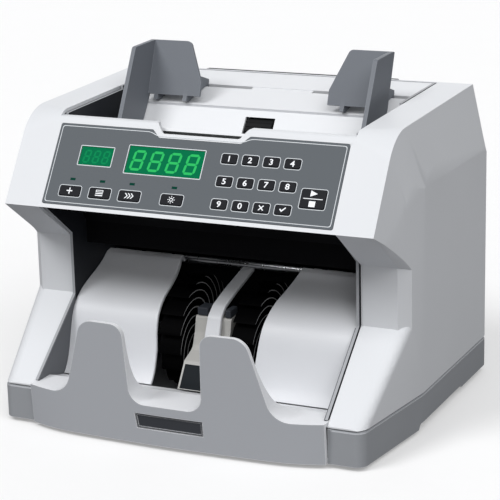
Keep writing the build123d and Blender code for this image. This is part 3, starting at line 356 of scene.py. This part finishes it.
dress(["panel_board", "main_board"], LAMINATE)
dress(["drive_motor"], MOTOR)
dress(["power_supply"], SUPPLY)


# ---------------------------------------------------------------- added shapes
def add_mesh(name, mesh, m, body):
    """A finished mesh as a piece of the object."""
    o = bpy.data.objects.new(name, mesh)
    scene.collection.objects.link(o)
    mesh.materials.append(m)
    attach(o, body)


def add_piece(name, bm, m, body):
    """A shape still in the making, finished and added as a piece of the object."""
    bmesh.ops.recalc_face_normals(bm, faces=bm.faces)
    mesh = bpy.data.meshes.new(name)
    bm.to_mesh(mesh)
    bm.free()
    add_mesh(name, mesh, m, body)


def wall(bm, a, b):
    """Faces between two loops of corners, one above the other."""
    for i in range(len(a)):
        j = (i + 1) % len(a)
        bm.faces.new((a[i], a[j], b[j], b[i]))


# ---------------------------------------------------------------- the panel's own places
FRAME_SHIFT = 0.75          # the frame's y is this much less than that of the CAD source
LEAN = math.radians(33.4)   # the panel's lean from upright
UP = Vector((0, math.sin(LEAN), math.cos(LEAN)))
OUT = Vector((0, -math.cos(LEAN), math.sin(LEAN)))
PANEL_FOOT = Vector((0, -84.3 - FRAME_SHIFT, 152.2))
FILM_TOP = 0.2              # the overlay's surface, above the panel plane
KEY_TOP = 0.9               # the key caps' tops
WINDOW_TOP = -0.7           # the display windows' surface
SINK = 0.02                 # how far printed shapes reach into what they are printed on


def panel(x, s, d):
    """A place on the front panel: x across, s up from its foot, d out of it, all in mm."""
    return (PANEL_FOOT + Vector((x, 0, 0)) + s * UP + d * OUT) * MM


def printed(name, shapes, surface, height, m, body):
    """Thin shapes that stand on a surface of the panel.

    Each is a loop of (x, s), or two loops, outer and inner, for a hollow shape."""
    bm = bmesh.new()
    for shape in shapes:
        rows = []
        for loop in shape if isinstance(shape, tuple) else (shape,):
            rows.append([bm.verts.new(panel(x, s, surface - SINK)) for x, s in loop])
            rows.append([bm.verts.new(panel(x, s, surface + height)) for x, s in loop])
        wall(bm, rows[0], rows[1])
        if isinstance(shape, tuple):
            for a, b in ((1, 3), (3, 2), (2, 0)):
                wall(bm, rows[a], rows[b])
        else:
            bm.faces.new(rows[0][::-1])
            bm.faces.new(rows[1])
    add_piece(name, bm, m, body)


def rounded(x, s, w, h, r, steps=5):
    """The loop of a rounded rectangle centred on (x, s)."""
    loop = []
    for cx, cs, start in ((w / 2 - r, h / 2 - r, 0), (r - w / 2, h / 2 - r, 90),
                          (r - w / 2, r - h / 2, 180), (w / 2 - r, r - h / 2, 270)):
        for i in range(steps + 1):
            a = math.radians(start + 90 * i / steps)
            loop.append((x + cx + r * math.cos(a), s + cs + r * math.sin(a)))
    return loop


def frame_line(x, s, w, h, r, width):
    """A rounded rectangular line of that width, just outside w by h."""
    return rounded(x, s, w + 2 * width, h + 2 * width, r + width), rounded(x, s, w, h, r)


# ---------------------------------------------------------------- keys and displays
# Places and sizes in mm on the panel, the same as those of the moulded keys and the windows.
COLUMNS = [24.8 + 15.2 * i for i in range(4)]
ROWS = [45.2 - 16.0 * i for i in range(3)]
MODE_COLUMNS = [-87.7, -64.7, -42.0, -10.2]
NUMBER_SIZE, MODE_SIZE, START_SIZE = (10.8, 6.3), (15.8, 7.0), (17.2, 12.8)
NUMBER_KEYS = [["key_1", "key_2", "key_3", "key_4"],
               ["key_5", "key_6", "key_7", "key_8"],
               ["key_9", "key_0", "key_clear", "key_set"]]
MODE_KEYS = ["key_add", "key_batch", "key_speed", "key_lamp"]
# Each key's x, s, width and height.
LAYOUT = {name: (x, s) + NUMBER_SIZE
          for s, names in zip(ROWS, NUMBER_KEYS) for x, name in zip(COLUMNS, names)}
LAYOUT.update({name: (x, ROWS[2]) + MODE_SIZE for x, name in zip(MODE_COLUMNS, MODE_KEYS)})
LAYOUT["key_start_stop"] = (89.8, 22.4) + START_SIZE
DISPLAYS = [(-74.5, 39.6, 25.2, 13.6), (-22.1, 39.5, 57.0, 19.8)]

INK_HEIGHT, SIGN_HEIGHT, SEGMENT_HEIGHT = 0.03, 0.05, 0.04
KEY_GAP, KEY_LINE, KEY_LINE_R = 0.9, 0.42, 1.4
DISPLAY_GAP, DISPLAY_LINE, DISPLAY_LINE_R = 0.1, 0.55, 0.3

# The overlay's outline: half its width, its foot and top, and its notch.
OVERLAY_HALF, OVERLAY_FOOT, OVERLAY_TOP = 107.2, 3.0, 61.9
NOTCH_TOP_HALF, NOTCH_FOOT_HALF, NOTCH_FLOOR = 36.3, 30.7, 59.2
NOTCH_SPREAD = 0.6          # how far the notch's slanted sides move out for each mm of inset
BORDER_INSET, BORDER_LINE = 1.5, 0.45
OUTER_R, NOTCH_TOP_R, NOTCH_FOOT_R = 2.0, 2.5, 3.0
CORNER_STEPS = 5
CORNER_SHARE = 0.45         # the most of a side that a rounded corner takes


def border(inset):
    """The overlay's outline drawn in by inset, with rounded corners."""
    w, top, low = OVERLAY_HALF - inset, OVERLAY_TOP - inset, OVERLAY_FOOT + inset
    notch_top = NOTCH_TOP_HALF + NOTCH_SPREAD * inset
    notch_foot = NOTCH_FOOT_HALF + NOTCH_SPREAD * inset
    notch = NOTCH_FLOOR - inset
    right = [((w, low), OUTER_R), ((w, top), OUTER_R), ((notch_top, top), NOTCH_TOP_R),
             ((notch_foot, notch), NOTCH_FOOT_R)]
    corners = right + [((-x, s), r) for (x, s), r in reversed(right)]
    loop = []
    for i, (corner, r) in enumerate(corners):
        p = Vector(corner)
        a = Vector(corners[i - 1][0]) - p
        b = Vector(corners[(i + 1) % len(corners)][0]) - p
        start = p + a.normalized() * min(r, a.length * CORNER_SHARE)
        end = p + b.normalized() * min(r, b.length * CORNER_SHARE)
        for k in range(CORNER_STEPS + 1):
            f = k / CORNER_STEPS
            q = start * (1 - f) ** 2 + p * 2 * f * (1 - f) + end * f ** 2
            loop.append((q.x, q.y))
    return loop


lines = [(border(BORDER_INSET), border(BORDER_INSET + BORDER_LINE))]
lines += [frame_line(x, s, w + KEY_GAP, h + KEY_GAP, KEY_LINE_R, KEY_LINE)
          for x, s, w, h in LAYOUT.values()]
lines += [frame_line(x, s, w + DISPLAY_GAP, h + DISPLAY_GAP, DISPLAY_LINE_R, DISPLAY_LINE)
          for x, s, w, h in DISPLAYS]
printed("overlay_print", lines, FILM_TOP, INK_HEIGHT, INK, "chassis")


NUMERAL_SIZE, NUMERAL_WEIGHT, NUMERAL_STRETCH = 5.6, 0.10, 1.12
NUMERAL_DEPTH, NUMERAL_LIFT = 0.03, 0.02


def numeral(text, key):
    """A numeral printed on its key."""
    x, s = LAYOUT[key][:2]
    curve = bpy.data.curves.new("numeral", "FONT")
    curve.body = text
    curve.size = NUMERAL_SIZE
    curve.offset = NUMERAL_WEIGHT
    curve.extrude = NUMERAL_DEPTH
    curve.align_x, curve.align_y = "CENTER", "CENTER"
    o = bpy.data.objects.new("numeral", curve)
    mesh = bpy.data.meshes.new_from_object(o)
    bpy.data.objects.remove(o)
    middle = [(min(v.co[i] for v in mesh.vertices) + max(v.co[i] for v in mesh.vertices)) / 2
              for i in (0, 1)]
    for v in mesh.vertices:
        v.co = panel(x + (v.co.x - middle[0]) * NUMERAL_STRETCH, s + v.co.y - middle[1],
                     KEY_TOP + NUMERAL_LIFT + v.co.z)
    mesh.name = "numeral_" + text
    add_mesh("numeral_" + text, mesh, LEGEND, key)


for digit in "0123456789":
    numeral(digit, "key_" + digit)


def bar(x, s, w, h, turn=0.0):
    """A straight bar centred on (x, s), turned in degrees."""
    a = math.radians(turn)
    points = ((-w / 2, -h / 2), (w / 2, -h / 2), (w / 2, h / 2), (-w / 2, h / 2))
    return [(x + px * math.cos(a) - ps * math.sin(a), s + px * math.sin(a) + ps * math.cos(a))
            for px, ps in points]


def ring(r, width, steps=24):
    """A ring about the middle, r to its outside."""
    turns = [2 * math.pi * i / steps for i in range(steps)]
    return tuple([(radius * math.cos(a), radius * math.sin(a)) for a in turns]
                 for radius in (r, r - width))


def sign(key, shapes):
    """A sign printed on its key. The shapes are about the key's middle, in mm."""
    x, s = LAYOUT[key][:2]
    moved = []
    for shape in shapes:
        if isinstance(shape, tuple):
            moved.append(tuple([(x + a, s + b) for a, b in loop] for loop in shape))
        else:
            moved.append([(x + a, s + b) for a, b in shape])
    printed("sign_" + key[len("key_"):], moved, KEY_TOP, SIGN_HEIGHT, LEGEND, key)


sign("key_add", [[(-2.2, -0.4), (-0.4, -0.4), (-0.4, -2.2), (0.4, -2.2), (0.4, -0.4), (2.2, -0.4),
                  (2.2, 0.4), (0.4, 0.4), (0.4, 2.2), (-0.4, 2.2), (-0.4, 0.4), (-2.2, 0.4)]])
sign("key_batch", [bar(0, -1.6, 5.6, 0.7), bar(0, -0.2, 5.6, 0.7),
                   (rounded(0, 1.5, 5.6, 1.6, 0.3), rounded(0, 1.5, 4.6, 0.7, 0.2))])
sign("key_speed", [[(x, -1.9), (x + 0.9, -1.9), (x + 2.6, 0), (x + 0.9, 1.9), (x, 1.9),
                    (x + 1.7, 0)] for x in (-3.4, -1.2, 1.0)])
rays = [math.pi / 4 * i for i in range(8)]
sign("key_lamp", [ring(1.3, 0.5)] + [
    bar(2.2 * math.cos(a), 2.2 * math.sin(a), 0.9, 0.45, math.degrees(a)) for a in rays])
sign("key_clear", [[(-1.9, -1.4), (-1.4, -1.9), (0, -0.5), (1.4, -1.9), (1.9, -1.4), (0.5, 0),
                    (1.9, 1.4), (1.4, 1.9), (0, 0.5), (-1.4, 1.9), (-1.9, 1.4), (-0.5, 0)]])
sign("key_set", [[(-2.2, 0.2), (-1.6, 0.8), (-0.6, -0.3), (1.8, 2.0), (2.4, 1.4), (-0.6, -1.5)]])
sign("key_start_stop", [[(-2.2, 1.5), (2.6, 3.6), (-2.2, 5.7)], bar(0, 0, 13.5, 0.5),
                        [(-2.2, -5.5), (2.2, -5.5), (2.2, -1.6), (-2.2, -1.6)]])

SLANT = 0.15                # a digit's lean to the right, for each mm up
SEGMENT_GAP = 0.12          # between an upright bar's tip and the middle of a corner
SEGMENT_REACH = 0.62        # how far a level bar's tips stay inside the digit, in thicknesses


def segments(x, s, w, h, t):
    """The seven bars of one digit centred on (x, s), t thick."""
    k = t / 2

    def slanted(points):
        return [(x + a + SLANT * b, s + b) for a, b in points]

    def level(b):
        a = w / 2 - t * SEGMENT_REACH
        return slanted([(-a, b), (-a + k, b - k), (a - k, b - k), (a, b), (a - k, b + k),
                        (-a + k, b + k)])

    def upright(a, low, high):
        return slanted([(a, low), (a + k, low + k), (a + k, high - k), (a, high),
                        (a - k, high - k), (a - k, low + k)])

    edge, top = w / 2 - k, h / 2 - k
    bars = [level(b) for b in (-top, 0, top)]
    for a in (-edge, edge):
        bars += [upright(a, -top + SEGMENT_GAP, -SEGMENT_GAP),
                 upright(a, SEGMENT_GAP, top - SEGMENT_GAP)]
    return bars


def digits(name, x, s, count, pitch, w, h, t, m):
    """A row of digits on a display, centred on (x, s), each with all its bars."""
    bars = []
    for i in range(count):
        bars += segments(x + pitch * (i - (count - 1) / 2), s, w, h, t)
    printed(name, bars, WINDOW_TOP, SEGMENT_HEIGHT, m, "chassis")


digits("digits_small", -74.5, 39.4, 3, 7.2, 5.2, 9.6, 1.25, UNLIT)
digits("digits_large", -22.4, 39.4, 4, 13.4, 9.2, 14.8, 1.75, LIT)


# ---------------------------------------------------------------- trim inside the pocket
LINING_X, LINING_T = 107.45, 0.5    # outer face, just inside a side frame, and thickness
# The outline in y and z, from the pocket's sloping edge down to the tray.
LINING = [(-100.0, 32.6), (-45.0, 78.1), (-45.0, 22.0), (-62.0, 22.0), (-74.0, 26.0),
          (-100.0, 26.0)]
CAP_EDGE = 0.7


def lining(name, side):
    """The sheet at one end of the pocket. side is -1 at the left and 1 at the right."""
    bm = bmesh.new()
    faces = [[bm.verts.new(Vector((side * x, y, z)) * MM) for y, z in LINING]
             for x in (LINING_X, LINING_X - LINING_T)]
    for face in faces:
        bm.faces.new(face)
    wall(bm, faces[0], faces[1])
    add_piece(name, bm, TRIM, "chassis")


def cap(name, low, high):
    """A dark cap with eased edges on the sensor block, between two corners in mm."""
    bm = bmesh.new()
    bmesh.ops.create_cube(bm, size=1)
    for v in bm.verts:
        v.co = Vector([a + (b - a) * (c + 0.5) for a, b, c in zip(low, high, v.co)]) * MM
    bmesh.ops.bevel(bm, geom=bm.edges[:], offset=CAP_EDGE * MM, segments=2, affect="EDGES",
                    profile=0.5)
    add_piece(name, bm, CAP, "chassis")


lining("pocket_end_left", -1)
lining("pocket_end_right", 1)
cap("sensor_cap_left", (-12.5, -40.5, 72.4), (-4.6, -28.5, 78.2))
cap("sensor_cap_right", (8.6, -40.5, 72.4), (12.9, -28.5, 78.2))


# ---------------------------------------------------------------- floor
FLOOR_REACH = 9                         # m from the middle to each side
FLOOR_COLOUR = (0.60, 0.60, 0.602)
FLOOR_GLOW = 0.30                       # brings it up to the surround, for the camera only
FLOOR_BOUNCE = (0.2, 0.2, 0.205, 1)     # its colour to all other rays


def floor():
    """A pale floor that throws little light back up at the object."""
    r = FLOOR_REACH
    mesh = bpy.data.meshes.new("floor")
    mesh.from_pydata([(-r, -r, 0), (r, -r, 0), (r, r, 0), (-r, r, 0)], [], [(0, 1, 2, 3)])
    o = bpy.data.objects.new("floor", mesh)
    scene.collection.objects.link(o)
    m = material("floor", FLOOR_COLOUR, rough=0.9, grain=(60, 0.02), mottle=0.01, specular=0.1)
    mesh.materials.append(m)
    t = m.node_tree
    shader = t.nodes["Principled BSDF"]
    shader.inputs["Emission Color"].default_value = (1, 1, 1, 1)
    shader.inputs["Emission Strength"].default_value = FLOOR_GLOW
    dim = add_node(t, "BsdfDiffuse", {"Color": FLOOR_BOUNCE})
    mix = add_node(t, "MixShader")
    link(t, add_node(t, "LightPath").outputs["Is Camera Ray"], mix.inputs["Fac"])
    link(t, dim.outputs["BSDF"], mix.inputs[1])
    link(t, shader.outputs["BSDF"], mix.inputs[2])
    link(t, mix.outputs["Shader"], t.nodes["Material Output"].inputs["Surface"])


floor()
